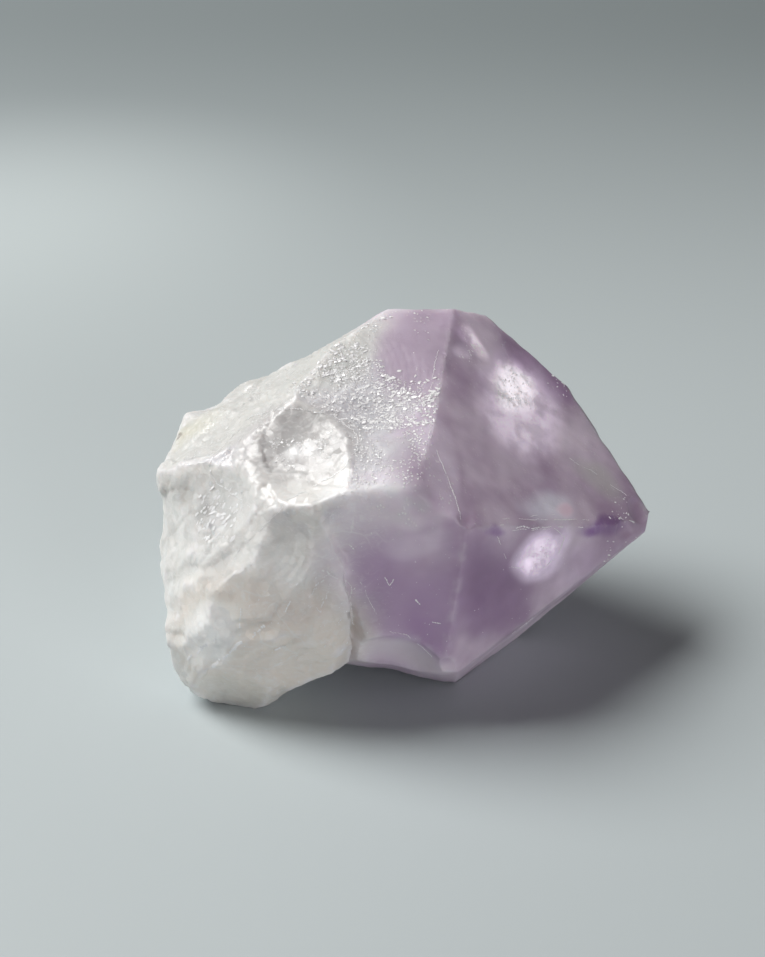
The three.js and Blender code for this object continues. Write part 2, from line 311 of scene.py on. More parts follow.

# Tints painted on the stone: where, along what, how long and wide, how soft the border is (all of
# it where nothing is said), how strong, and the colour. Opaque is how much of the clear crystal
# it hides, and glow is painted light: how much light the tint gives off, though the stone is no lamp.
tints = (
    # root
    {"at": (-24, 4, 46), "along": (0.85, 0.3, 0.4), "long": 28, "wide": 12, "soft": 0.6,
     "strength": 0.9, "colour": (0.70, 0.705, 0.68)},
    {"at": (-36, 3, 38), "along": (0.8, 0.2, 0.5), "long": 9, "wide": 5,
     "strength": 0.8, "colour": (0.74, 0.73, 0.62)},
    {"at": (-39.7, 3.3, 38.5), "along": (1, 0, 0), "long": 1.1, "wide": 0.9, "soft": 0.6,
     "strength": 0.9, "colour": (0.26, 0.22, 0.17)},
    # painted shade: a greyer patch in the hollow
    {"at": (-26, -20, 36), "along": (0.8, -0.2, 0.4), "long": 16, "wide": 8,
     "strength": 0.8, "colour": (0.80, 0.795, 0.78)},
    {"at": (-24, -26, 16), "along": (1, 0, 0), "long": 22, "wide": 15, "soft": 0.7,
     "strength": 1.0, "colour": (0.92, 0.85, 0.78)},
    {"at": (-19, -27, 24), "along": (1, 0, 0.2), "long": 9, "wide": 5,
     "strength": 0.5, "colour": (0.84, 0.77, 0.73)},
    # painted light: the shaded left of the lobe made white, with painted glow
    {"at": (-33, -25.5, 16.5), "along": (0.7, 0, 0.7), "long": 10, "wide": 7,
     "strength": 1.0, "colour": (1.0, 1.0, 0.97), "paintedGlow": 0.08},
    {"at": (-26, -24, 4), "along": (1, 0, 0), "long": 16, "wide": 7,
     "strength": 0.7, "colour": (0.84, 0.80, 0.72)},
    {"at": (-31, -17, 34.5), "along": (0.5, 0, 0.87), "long": 6, "wide": 3,
     "strength": 1.0, "colour": (1.0, 1.0, 0.99)},
    # painted shade: a dark strip on the shaded face of the hollow
    {"at": (-34.5, -13.5, 32), "along": (0.4, 0, 0.9), "long": 5, "wide": 1.6,
     "strength": 0.7, "colour": (0.56, 0.56, 0.55)},
    {"at": (-17, -14, 44.5), "along": (0.8, 0, 0.3), "long": 6, "wide": 3.5,
     "strength": 0.8, "colour": (1.0, 1.0, 1.0)},
    # upper face
    {"at": (1.5, 6, 53), "along": (0.2, 0.93, 0.32), "long": 15, "wide": 8.5,
     "strength": 1.0, "colour": (0.54, 0.44, 0.56), "opaque": -0.15},
    {"at": (-5, -22.5, 42.4), "along": (1, 0, 0), "long": 11, "wide": 4.5,
     "strength": 0.7, "colour": (0.92, 0.92, 0.95), "opaque": 0.2},
    {"at": (3, -19, 44.4), "along": (0.3, 0.9, 0.3), "long": 9, "wide": 5,
     "strength": 0.6, "colour": (0.58, 0.48, 0.60), "opaque": -0.1},
    {"at": (-18, -12, 46), "along": (0.85, -0.3, 0.2), "long": 14, "wide": 10, "soft": 0.7,
     "strength": 0.85, "colour": (0.56, 0.55, 0.55)},
    {"at": (-17.5, -13.3, 44.7), "along": (0.9, -0.2, 0.3), "long": 4.5, "wide": 2.2,
     "strength": 0.9, "colour": (1.0, 1.0, 1.0)},
    {"at": (-12.7, -13.2, 45.9), "along": (0.5, 0.8, 0.3), "long": 2.2, "wide": 1.2,
     "strength": 0.9, "colour": (1.0, 1.0, 1.0)},
    {"at": (-3, -21, 43.2), "along": (1, 0, 0), "long": 8, "wide": 2.4,
     "strength": 0.5, "colour": (0.60, 0.50, 0.62), "opaque": -0.1},
    {"at": (2, -18, 45), "along": (1, 0, 0), "long": 9, "wide": 4,
     "strength": 0.5, "colour": (0.56, 0.46, 0.58), "opaque": -0.1},
    # front face
    {"at": (-3, -23.8, 38.5), "along": (1, 0, 0), "long": 12, "wide": 3.5,
     "strength": 0.7, "colour": (0.80, 0.73, 0.80), "opaque": 0.15},
    {"at": (-9, -25, 33), "along": (0.3, 0, 1), "long": 12, "wide": 7,
     "strength": 0.8, "colour": (0.83, 0.76, 0.83), "opaque": 0.3},
    {"at": (-3, -25.5, 26), "along": (0.5, 0, -1), "long": 15, "wide": 8,
     "strength": 0.75, "colour": (0.42, 0.27, 0.47)},
    {"at": (4, -26, 20), "along": (0.2, 0, 1), "long": 13, "wide": 6,
     "strength": 0.75, "colour": (0.42, 0.27, 0.48)},
    {"at": (1.8, -24.6, 33.6), "along": (1, 0, 0.1), "long": 7, "wide": 2.6,
     "strength": 0.3, "colour": (0.88, 0.84, 0.90), "opaque": 0.2},
    {"at": (0, -25.0, 12), "along": (1, 0, -0.3), "long": 11, "wide": 5.5,
     "strength": 0.8, "colour": (0.78, 0.71, 0.77), "opaque": 0.3},
    # tip faces
    {"at": (13, -21.5, 22), "along": (0.5, 0.4, -0.8), "long": 18, "wide": 9,
     "strength": 0.8, "colour": (0.40, 0.25, 0.45), "opaque": -0.1},
    {"at": (24, 16, 42), "along": (0.6, 0.4, -0.6), "long": 16, "wide": 5,
     "strength": 0.8, "colour": (0.54, 0.35, 0.60), "opaque": -0.1},
    {"at": (30, 4, 34), "along": (0.6, 0.3, -0.6), "long": 13, "wide": 8,
     "strength": 0.6, "colour": (0.92, 0.82, 0.92), "opaque": 0.2},
    {"at": (29, -8.5, 19), "along": (0.6, 0.6, -0.4), "long": 9, "wide": 6,
     "strength": 0.6, "colour": (0.72, 0.58, 0.76), "opaque": 0.1},
    # painted reflected light: a bright patch on the broad tip face, pale with painted glow
    {"at": (19.5, 6.5, 42.6), "along": (0.3, 0.9, 0.3), "long": 15, "wide": 11,
     "strength": 0.9, "colour": (0.94, 0.82, 0.98), "opaque": 0.3, "paintedGlow": 0.19},
    {"at": (18.2, 9.0, 44.6), "along": (0.5, 0.8, 0.1), "long": 8, "wide": 6,
     "strength": 0.9, "colour": (1.0, 0.93, 1.0), "opaque": 0.3, "paintedGlow": 0.24},
    # painted highlights: small bright spots on the broad tip face, with painted glow
    {"at": (11, 11.5, 52), "along": (0.7, -0.3, -0.6), "long": 4.2, "wide": 3.2,
     "strength": 0.85, "colour": (1.0, 0.90, 1.0), "opaque": 0.3, "paintedGlow": 0.30},
    {"at": (9.4, 8.2, 51.5), "along": (0.7, -0.3, -0.6), "long": 2.4, "wide": 2.0,
     "strength": 0.7, "colour": (0.92, 0.82, 0.95), "opaque": 0.2, "paintedGlow": 0.12},
    {"at": (5.2, -15.8, 43.6), "along": (0.25, -0.85, -0.45), "long": 13, "wide": 4.2, "soft": 0.8,
     "strength": 0.75, "colour": (0.78, 0.69, 0.81), "opaque": 0.2},
    {"at": (33.5, 3.1, 29.6), "along": (0.7, 0.1, -0.6), "long": 8, "wide": 4.4,
     "strength": 0.7, "colour": (0.58, 0.57, 0.56), "opaque": 0.2},
    {"at": (20.5, 16.5, 47), "along": (0.6, 0.4, -0.6), "long": 9, "wide": 4.5,
     "strength": 0.8, "colour": (0.50, 0.36, 0.54), "opaque": -0.1},
    {"at": (10, 10, 54), "along": (0.5, -0.6, 0), "long": 8, "wide": 4,
     "strength": 0.8, "colour": (0.50, 0.37, 0.53), "opaque": -0.05},
    # a pale patch, its glow painted light
    {"at": (23.1, -9.9, 32.1), "along": (0.7, 0.5, -0.3), "long": 8, "wide": 4.2,
     "strength": 0.7, "colour": (0.84, 0.86, 0.94), "opaque": 0.2, "paintedGlow": 0.04},
    {"at": (26.3, -8.2, 30.3), "along": (0.7, 0.5, -0.3), "long": 2.6, "wide": 1.8,
     "strength": 0.6, "colour": (0.80, 0.54, 0.64), "opaque": 0.2},
    # painted gleam on the front tip face: a bright patch with painted glow
    {"at": (22.0, -14.6, 25.4), "along": (0.75, 0.6, 0.1), "long": 8, "wide": 5.6, "soft": 0.6,
     "strength": 0.8, "colour": (0.86, 0.74, 0.92), "opaque": 0.3, "paintedGlow": 0.08},
    {"at": (21.6, -14.9, 25.4), "along": (0.75, 0.6, 0.1), "long": 5.6, "wide": 3.8,
     "strength": 0.95, "colour": (0.93, 0.80, 0.98), "opaque": 0.3, "paintedGlow": 0.31},
    {"at": (34.5, -4.0, 24.6), "along": (0.7, 0.5, -0.3), "long": 5.5, "wide": 2.4,
     "strength": 0.9, "colour": (0.36, 0.20, 0.46), "opaque": -0.1},
    {"at": (13.5, -20.6, 33.6), "along": (0.8, 0.6, -0.3), "long": 3.0, "wide": 1.3,
     "strength": 0.9, "colour": (0.30, 0.17, 0.38), "opaque": 0.2},
    {"at": (22, -14.5, 30.2), "along": (0.8, 0.6, -0.35), "long": 9, "wide": 0.9,
     "strength": 0.6, "colour": (0.42, 0.30, 0.46), "opaque": 0.1},
    {"at": (31.2, -7.0, 26.0), "along": (0.8, 0.6, -0.3), "long": 5.5, "wide": 1.8,
     "strength": 0.9, "colour": (0.26, 0.12, 0.36), "opaque": 0.2},
)
tintBorder = {"size": 5.0, "stray": 1.4, "small": 1.5}  # how the borders of the tints waver

# Smooth part of the upper face, with hardly any frost or grains
barePatch = {"at": (1.5, 7.5, 53), "radius": 8.5, "border": 3, "bare": 0.97}


def smoothStep(value, low, high):
    share = min(1.0, max(0.0, (value - low) / (high - low)))
    return share * share * (3 - 2 * share)


def faceDirection(face):
    azimuth = math.radians(face["azimuth"])
    lean = math.radians(face["lean"])
    out = math.cos(lean)
    return Vector((math.sin(lean), -math.cos(azimuth) * out, math.sin(azimuth) * out))


def looseVector(pick):
    return Vector([pick.uniform(-1, 1) for axis in range(3)])


def roundVector(pick):
    return Vector([pick.gauss(0, 1) for axis in range(3)])


def copySolid(nodeName, name, merge):
    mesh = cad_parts[nodeName].data.copy()
    mesh.name = name
    mesh.materials.clear()
    bm = bmesh.new()
    bm.from_mesh(mesh)
    bmesh.ops.remove_doubles(bm, verts=bm.verts, dist=merge * mm)
    bm.to_mesh(mesh)
    bm.free()
    piece = bpy.data.objects.new(name, mesh)
    scene.collection.objects.link(piece)
    return piece


def evenMesh(piece, depth, fill):
    remesh = piece.modifiers.new("even", "REMESH")
    remesh.mode = "SHARP"
    remesh.octree_depth = depth
    remesh.scale = fill
    remesh.use_remove_disconnected = False
    graph = bpy.context.evaluated_depsgraph_get()
    mesh = bpy.data.meshes.new_from_object(piece.evaluated_get(graph))
    old = piece.data
    piece.modifiers.clear()
    piece.data = mesh
    bpy.data.meshes.remove(old)


def chipHeight(place, chip, shift):
    # every cell of the pattern is one flat break with its own tilt
    centre = noise.voronoi(place / chip["size"])[1][0] * chip["size"]
    lean = noise.cell_vector(centre * shift)
    return (place - centre).dot(lean * 2 - Vector((1, 1, 1))) * chip["tilt"]


def ledgeHeight(place, ledge, patterns):
    # rises slowly across each ledge and drops at its lip
    along = place.dot(Vector(ledge["across"])) / ledge["spacing"]
    along += noise.noise(place / (ledge["spacing"] * patterns["bend"])) * ledge["sway"]
    faded = noise.noise(place / (ledge["spacing"] * patterns["fade"]) + Vector(patterns["shift"]))
    return (along % 1 - 0.5) * ledge["height"] * smoothStep(faded, *patterns["border"])


def rootShare(place, shape):
    wander = shape["wander"]
    strayed = place.x + noise.noise(place / wander["size"]) * wander["stray"]
    return smoothStep(strayed, shape["rootFrom"], shape["rootTo"])


def frostOverEdge(place, edge):
    # the frost of the upper face reaches a little over onto the front face
    away = math.hypot(place.y - edge["y"], place.z - edge["z"])
    patch = smoothStep(noise.noise(place / edge["patch"]), *edge["border"])
    return smoothStep(away, *edge["reach"]) * smoothStep(place.x, *edge["upTo"]) * patch


def softenVerts(bm, chosen, times):
    for turn in range(times):
        bmesh.ops.smooth_vert(bm, verts=chosen, factor=0.5, use_axis_x=True, use_axis_y=True, use_axis_z=True)


def softenEdge(bm, edge):
    # the upper and front faces meet in a rounded, worn edge
    near = []
    for vert in bm.verts:
        place = vert.co / mm
        away = math.hypot(place.y - edge["y"], place.z - edge["z"])
        if away < edge["reach"] and place.x < edge["upTo"]:
            near.append(vert)
    softenVerts(bm, near, edge["times"])


def fillCrevices(bm, crevice, rootEdge):
    # the lumps of the root grew together, so the creases between them are shallow
    chosen = set()
    for edge in bm.edges:
        if len(edge.link_faces) == 2 and edge.verts[0].co.x / mm < rootEdge:
            if edge.calc_face_angle_signed(0.0) < crevice["angle"]:
                chosen.update(edge.verts)
    for ring in range(crevice["rings"]):
        chosen.update([edge.other_vert(vert) for vert in list(chosen) for edge in vert.link_edges])
    softenVerts(bm, list(chosen), crevice["times"])


def pressOut(bm, tree, centre, radius):
    # presses what lies in a ball out to its skin, which leaves a bowl
    for _, index, _ in tree.find_range(centre * mm, radius * mm):
        away = (bm.verts[index].co / mm - centre).normalized()
        bm.verts[index].co = (centre + away * radius) * mm


def carvePlaced(bm):
    tree = vertTree(bm)
    pressOut(bm, tree, Vector(plateBowl["centre"]), plateBowl["radius"])
    for scar in placedScars:
        nearest = tree.find(Vector(scar["at"]) * mm)[0] / mm
        centre = nearest + Vector(scar["looks"]).normalized() * (scar["radius"] - scar["depth"])
        pressOut(bm, tree, centre, scar["radius"])


def vertTree(bm):
    tree = kdtree.KDTree(len(bm.verts))
    for index, vert in enumerate(bm.verts):
        tree.insert(vert.co, index)
    tree.balance()
    bm.verts.ensure_lookup_table()
    return tree


def carveScars(bm, scars, shape):
    pick = random.Random(scars["seed"])
    verts = [
        vert for vert in bm.verts
        if rootShare(vert.co / mm, shape) > scars["rootOver"] and vert.co.z > scars["above"] * mm]
    tree = vertTree(bm)
    for turn in range(scars["count"]):
        struck = pick.choice(verts)
        radius = pick.uniform(*scars["radius"])
        depth = pick.uniform(*scars["depth"])
        centre = struck.co / mm + struck.normal * (radius - depth)
        wide = math.sqrt(2 * radius * depth)
        start = struck.co / mm + looseVector(pick) * wide  # the ripples run out from here
        inside = []
        for _, index, _ in tree.find_range(centre * mm, (radius + scars["margin"]) * mm):
            vert = bm.verts[index]
            sunk = radius - (vert.co / mm - centre).length
            if sunk > 0:
                inside.append((vert, sunk))
        if not inside or max(sunk for _, sunk in inside) > depth * scars["slack"]:
            continue
        for vert, _ in inside:
            away = (vert.co / mm - centre).normalized()
            rings = math.sin((vert.co / mm - start).length / scars["spacing"] * math.tau) * scars["ripple"]
            vert.co = (centre + away * (radius + rings)) * mm


def paintTints(bm):
    # over each other in order, as colour times share, with the share beside it
    paint = bm.verts.layers.float_color.new("tint")
    opaqueLayer = bm.verts.layers.float.new("opaque")
    # painted glow: light given off where the tints say, though the stone is no lamp
    paintedGlowLayer = bm.verts.layers.float.new("paintedGlow")
    for vert in bm.verts:
        vert[paint] = (0, 0, 0, 0)
    tree = vertTree(bm)
    for tint in tints:
        at = Vector(tint["at"])
        stray = tintBorder["stray"]
        if tint["long"] < tintBorder["small"]:  # a small one sits right on the surface
            at = tree.find(at * mm)[0] / mm
            stray = 0.0
        along = Vector(tint["along"]).normalized()
        near = max(tint["long"], tint["wide"]) + stray
        for _, index, _ in tree.find_range(at * mm, near * mm):
            vert = bm.verts[index]
            place = vert.co / mm
            offset = place + noise.noise_vector(place / tintBorder["size"]) * stray - at
            run = offset.dot(along)
            reach = (run / tint["long"]) ** 2 + (offset.length_squared - run * run) / tint["wide"] ** 2
            share = smoothStep(reach, 1.0, 1.0 - tint.get("soft", 1.0)) * tint["strength"]
            if share > 0:
                under = Vector(vert[paint])
                vert[paint] = under * (1 - share) + Vector((*tint["colour"], 1)) * share
                vert[opaqueLayer] += tint.get("opaque", 0.0) * share
                vert[paintedGlowLayer] += tint.get("paintedGlow", 0.0) * share


def findEdges(bm, edges):
    # how much each vertex lies on a sharp edge, spread a little over the faces beside it
    bend = {}
    for vert in bm.verts:
        angles = [edge.calc_face_angle_signed(0.0) for edge in vert.link_edges if len(edge.link_faces) == 2]
        bend[vert.index] = smoothStep(max(angles, default=0.0), *edges["bend"])
    for ring in range(edges["rings"]):
        spread = {}
        for vert in bm.verts:
            around = [bend[edge.other_vert(vert).index] for edge in vert.link_edges]
            spread[vert.index] = max(bend[vert.index], edges["spread"] * max(around))
        bend = spread
    return bend


def rootHeight(place, root, shape):
    height = 0.0
    for chip in shape["chips"]:
        height += chipHeight(place, chip, shape["chipShift"]) * root
    low = max(shape["ledgesBelow"]["above"], smoothStep(place.z, *shape["ledgesBelow"]["border"]))
    for ledge in shape["ledges"]:
        height += ledgeHeight(place, ledge, shape["ledgePatterns"]) * root * low
    return height + noise.noise(place / shape["swell"]["size"]) * shape["swell"]["height"] * root


def roughShare(place):
    # less than 1 in the bare patch, which has a ragged border
    border = barePatch["border"]
    away = (place - Vector(barePatch["at"])).length + noise.noise(place / border) * border
    return 1 - barePatch["bare"] * smoothStep(away, barePatch["radius"], barePatch["radius"] - border)


def addRelief(bm, shape):
    # moves the surface, and keeps on each vertex what the material needs to know of it
    rootLayer = bm.verts.layers.float.new("rootShare")
    frostLayer = bm.verts.layers.float.new("frosted")
    edgeLayer = bm.verts.layers.float.new("edgeShare")
    bend = findEdges(bm, shape["edges"])
    bowl = Vector(plateBowl["centre"])
    upperFace = faceDirection(stoneFaces["upperPrism"])
    grain = shape["grain"]
    wear = shape["edgeWear"]
    moves = []
    for vert in bm.verts:
        place = vert.co / mm
        plate = smoothStep(abs((place - bowl).length - plateBowl["radius"]), *plateBowl["border"])
        root = max(rootShare(place, shape), plate)
        upper = smoothStep(vert.normal.dot(upperFace), *shape["upperBorder"])
        height = rootHeight(place, root, shape) if root > 0 else 0.0
        height += noise.noise(place / grain["size"]) * grain["height"] * max(root, upper) * (1 - plate)
        worn = max(0.0, noise.noise(place / wear["size"]) + wear["least"])
        height -= wear["depth"] * bend[vert.index] * worn
        moves.append((vert, vert.normal * height * mm))
        vert[rootLayer] = root
        frosted = max(upper, frostOverEdge(place, shape["frostEdge"]))
        vert[frostLayer] = frosted * (1 - plate) * roughShare(place)
        vert[edgeLayer] = bend[vert.index]
    for vert, move in moves:
        vert.co += move
    for vert in bm.verts:  # nothing sinks into the table
        vert.co.z = max(vert.co.z, 0.0)


def shapeStone(piece, shape):
    bm = bmesh.new()
    bm.from_mesh(piece.data)
    bm.normal_update()
    softenEdge(bm, shape["softEdge"])
    fillCrevices(bm, shape["crevice"], shape["rootFrom"])
    bm.normal_update()
    carveScars(bm, flakeScars, shape)
    carvePlaced(bm)
    for spot in shape["softSpots"]:
        near = [vert for vert in bm.verts if (vert.co / mm - Vector(spot["at"])).length < spot["reach"]]
        softenVerts(bm, near, spot["times"])
    bm.normal_update()
    addRelief(bm, shape)
    paintTints(bm)
    for face in bm.faces:
        face.smooth = True
    bm.to_mesh(piece.data)
    bm.free()


stone = copySolid("amethyst_point", "amethystStone", stoneShape["merge"])
evenMesh(stone, stoneShape["detail"], stoneShape["fill"])
shapeStone(stone, stoneShape)
print("stone shaped,", len(stone.data.polygons), "faces")

# Quartz: clear violet crystal that turns hazy, frosted and then milky towards the root.
# A range gives the values of a pattern between which its effect grows from nothing to all, or
# from the third number to the fourth where there are four.

quartzLook = {
    "violet": (0.72, 0.52, 0.74),  # what the clear crystal lets through
    "absorb": 16.0,
    "ior": 1.544,
    "clearRoughness": 0.06,
    "hazeColour": (0.78, 0.67, 0.79),
    "deepHaze": (0.64, 0.49, 0.66),
    "milkColour": (0.89, 0.89, 0.87),
    "milkShade": (0.80, 0.79, 0.76),
    "frostColour": (0.68, 0.67, 0.71),
    "sugarColour": (0.97, 0.97, 0.98),
    "veinColour": (0.96, 0.96, 0.95),
    # rims: worn edges, partly a painted edge highlight
    "rimWearAndHighlight": (0.97, 0.95, 0.97),
    "milkRoughness": 0.50,
    "rootCover": 0.92,  # how much of the root hides the clear crystal
    "waver": {"size": 5, "detail": 2.0},  # bends the borders of patterns
    "frost": {"patch": 9, "alongX": (9 * mm, -8 * mm, 0.0, 0.55), "grows": (0.50, 1.0)},
    "sugar": {"size": 0.7, "grows": (0.34, 0.20), "patch": 3.5, "patchGrows": (0.42, 0.62)},
    "haze": {"drift": 16, "alongX": (16 * mm, -10 * mm, 0.0, 0.35), "grows": (0.30, 0.85, 0.62, 0.95),
             "deep": (0.40, 0.64), "inRoot": (0.0, 1.0, 1.0, 0.85)},
    "streaks": {"scale": (0.35, 1.6, 1.0), "size": 5, "roughness": 0.6, "haze": (0.35, 0.7, -0.03, 0.03),
                "colour": (0.40, 0.75, 0.0, 0.12), "tint": (0.3, 0.6, 0.88, 1.0)},
    "veins": {"size": 8, "grows": (0.035, 0.0), "patches": (0.48, 0.62), "share": 0.45},
    # worn: edge wear, and on the root's ridges partly a painted edge highlight
    "worn": {"size": 3, "grows": (0.40, 0.66), "inRoot": (0.0, 1.0, 0.22, 0.9)},
    # wisps: where the painted glow is strong and where it is weak
    "wisps": {"size": 4, "roughness": 0.7, "paintedGlow": (0.36, 0.62, 0.1, 1.4)},
    "shade": {"size": 12, "grows": (0.38, 0.68)},
    "scratches": {"turn": (0.4, 0.9, 0.5), "scale": (0.45, 1.0, 1.3), "size": 0.7, "roughness": 0.7,
                  "grows": (0.48, 0.72), "share": 0.45},
    "etched": {"size": 1, "roughness": 0.6, "height": 0.025, "sugarHeight": 0.13},
    "facets": ({"size": 4.2, "tilt": 0.18}, {"size": 1.4, "tilt": 0.22}),  # small flat breaks in the root
    "gloss": {"weight": 0.28, "roughness": 0.18},  # of the broken root
    "milkScatter": 3.0,  # how far light spreads below the surface, in the root and in the haze
    "hazeScatter": 4.0,
    "scatterColour": (1.0, 0.9, 0.85),
    "scatterShare": 0.6,
}


def makeQuartz(look):
    material, tree, output = newMaterial("amethystQuartz")
    place = addNode(tree, "ShaderNodeTexCoord").outputs["Object"]
    acrossX = addNode(tree, "ShaderNodeSeparateXYZ", {"Vector": place}).outputs["X"]

    def share(name):
        return addNode(tree, "ShaderNodeAttribute", attribute_name=name).outputs["Fac"]

    def times(first, second):
        return addMath(tree, "MULTIPLY", first, second)

    def plus(first, second, clamp=False):
        return addMath(tree, "ADD", first, second, clamp)

    def most(first, second, clamp=False):
        return addMath(tree, "MAXIMUM", first, second, clamp)

    def ranged(value, limits):
        return addRange(tree, value, *limits)

    def vectorMath(operation, first, second, output="Vector"):
        node = addNode(tree, "ShaderNodeVectorMath", {0: first, 1: second}, operation=operation)
        return node.outputs[output]

    def scaled(vector, factor):
        node = addNode(tree, "ShaderNodeVectorMath", {0: vector, "Scale": factor}, operation="SCALE")
        return node.outputs["Vector"]

    root = share("rootShare")
    rim = share("edgeShare")
    upper = share("frosted")
    opaque = share("opaque")
    paintedGlow = share("paintedGlow")
    tint = addNode(tree, "ShaderNodeAttribute", attribute_name="tint")

    # a wavering copy of the place, for natural borders
    waver = look["waver"]
    stray = addNode(tree, "ShaderNodeTexNoise", {
        "Vector": place, "Scale": 1 / (waver["size"] * mm), "Detail": waver["detail"],
    }).outputs["Color"]
    stray = vectorMath("SUBTRACT", stray, (0.5, 0.5, 0.5))
    wavering = vectorMath("ADD", place, scaled(stray, waver["size"] * mm))

    # frost: white sugar on the upper face, thick towards the root and thin at the ridge
    patches = addNoise(tree, place, look["frost"]["patch"], 3.0)
    frost = plus(patches, ranged(acrossX, look["frost"]["alongX"]))
    frost = times(ranged(frost, look["frost"]["grows"]), upper)
    sugar = addCells(tree, place, look["sugar"]["size"]).outputs["Distance"]
    thick = ranged(addNoise(tree, place, look["sugar"]["patch"], 2.0), look["sugar"]["patchGrows"])
    sugar = times(times(ranged(sugar, look["sugar"]["grows"]), thick), upper)

    # haze: soft cloud in the crystal, thicker near the root
    drift = addNoise(tree, place, look["haze"]["drift"], 3.0)
    streaks = addNode(tree, "ShaderNodeMapping", {
        "Vector": place, "Scale": look["streaks"]["scale"],
    }).outputs["Vector"]
    streaks = addNoise(tree, streaks, look["streaks"]["size"], 4.0, look["streaks"]["roughness"])
    haze = plus(drift, ranged(acrossX, look["haze"]["alongX"]))
    haze = plus(ranged(haze, look["haze"]["grows"]), ranged(streaks, look["streaks"]["haze"]))

    # white veins in the root, and wear on the crystal's edges; on the root's ridges the bright rims are
    # partly a painted edge highlight
    veins = addCells(tree, wavering, look["veins"]["size"], "DISTANCE_TO_EDGE").outputs["Distance"]
    veins = times(ranged(veins, look["veins"]["grows"]), ranged(patches, look["veins"]["patches"]))
    veins = times(times(veins, root), look["veins"]["share"])
    worn = ranged(addNoise(tree, place, look["worn"]["size"], 3.0), look["worn"]["grows"])
    worn = times(times(rim, worn), ranged(root, look["worn"]["inRoot"]))

    # colour: violet haze or milk, then frost, the tints, scratches, veins, wear with painted edge highlights,
    # and sugar
    shade = addNoise(tree, place, look["shade"]["size"], 3.0)
    milk = addMix(tree, ranged(shade, look["shade"]["grows"]), look["milkColour"], look["milkShade"])
    violet = addMix(tree, ranged(drift, look["haze"]["deep"]), look["deepHaze"], look["hazeColour"])
    violet = addMix(tree, ranged(streaks, look["streaks"]["colour"]), violet, look["hazeColour"])
    colour = addMix(tree, root, violet, milk)
    colour = addMix(tree, frost, colour, look["frostColour"])
    strength = ranged(streaks, look["streaks"]["tint"])
    colour = addMix(tree, times(tint.outputs["Alpha"], strength), colour, (0.0, 0.0, 0.0))
    colour = vectorMath("ADD", colour, scaled(tint.outputs["Color"], strength))
    scratches = look["scratches"]
    scratched = addNode(tree, "ShaderNodeMapping", {
        "Vector": wavering, "Rotation": scratches["turn"], "Scale": scratches["scale"],
    }).outputs["Vector"]
    scratched = addNoise(tree, scratched, scratches["size"], 3.0, scratches["roughness"])
    scratched = times(times(ranged(scratched, scratches["grows"]), root), scratches["share"])
    colour = addMix(tree, scratched, colour, look["veinColour"])
    colour = addMix(tree, veins, colour, look["veinColour"])
    colour = addMix(tree, worn, colour, look["rimWearAndHighlight"])
    colour = addMix(tree, sugar, colour, look["sugarColour"])

    # how much of the clear crystal all that hides
    haze = times(haze, ranged(root, look["haze"]["inRoot"]))
    milky = most(most(times(root, look["rootCover"]), frost), haze)
    milky = plus(milky, opaque, clamp=True)
    crisp = most(most(sugar, worn), veins)
    milky = most(milky, crisp, clamp=True)

    # sugar grains, a fine etched surface and the root's small flat breaks
    etched = look["etched"]
    fine = addNoise(tree, place, etched["size"], 2.0, etched["roughness"])
    height = plus(times(fine, etched["height"]), times(sugar, etched["sugarHeight"]))
    for facet in look["facets"]:
        cell = addCells(tree, place, facet["size"])
        lean = vectorMath("SUBTRACT", cell.outputs["Color"], (0.5, 0.5, 0.5))
        offset = vectorMath("SUBTRACT", place, cell.outputs["Position"])
        tilted = times(vectorMath("DOT_PRODUCT", offset, lean, "Value"), facet["tilt"] / mm)
        height = plus(height, times(tilted, root))
    bump = addNode(tree, "ShaderNodeBump", {"Height": height, "Distance": 1 * mm}).outputs["Normal"]

    clear = addNode(tree, "ShaderNodeBsdfPrincipled", {
        "Base Color": (1, 1, 1, 1), "Roughness": look["clearRoughness"], "IOR": look["ior"],
        "Transmission Weight": 1.0, "Normal": bump,
    })
    # painted glow: the tints' glow given off as light, in wisps
    wisps = addNoise(tree, place, look["wisps"]["size"], 4.0, look["wisps"]["roughness"])
    scatter = (0.0, 1.0, look["hazeScatter"] * mm, look["milkScatter"] * mm)
    milkShader = addNode(tree, "ShaderNodeBsdfPrincipled", {
        "Base Color": colour, "Roughness": look["milkRoughness"], "IOR": look["ior"], "Normal": bump,
        "Subsurface Weight": ranged(crisp, (0.0, 1.0, look["scatterShare"], 0.0)),
        "Subsurface Radius": look["scatterColour"], "Subsurface Scale": ranged(root, scatter),
        "Coat Weight": times(root, look["gloss"]["weight"]), "Coat Roughness": look["gloss"]["roughness"],
        "Coat IOR": look["ior"], "Coat Normal": bump,
        "Emission Color": colour, "Emission Strength": times(paintedGlow, ranged(wisps, look["wisps"]["paintedGlow"])),
    })
    mixed = addNode(tree, "ShaderNodeMixShader", {0: milky, 1: clear.outputs[0], 2: milkShader.outputs[0]})
    inside = addNode(tree, "ShaderNodeVolumeAbsorption", {
        "Color": (*look["violet"], 1), "Density": look["absorb"],
    })
    tree.links.new(mixed.outputs[0], output.inputs["Surface"])
    tree.links.new(inside.outputs[0], output.inputs["Volume"])
    return material


stone.data.materials.append(makeQuartz(quartzLook))
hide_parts("amethyst_point")
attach(stone, "root")
print("quartz made")

# Veils of tiny flat cracks inside the crystal

veilLook = {"colour": (0.97, 0.93, 0.99), "roughness": 0.36, "metallic": 0.85}

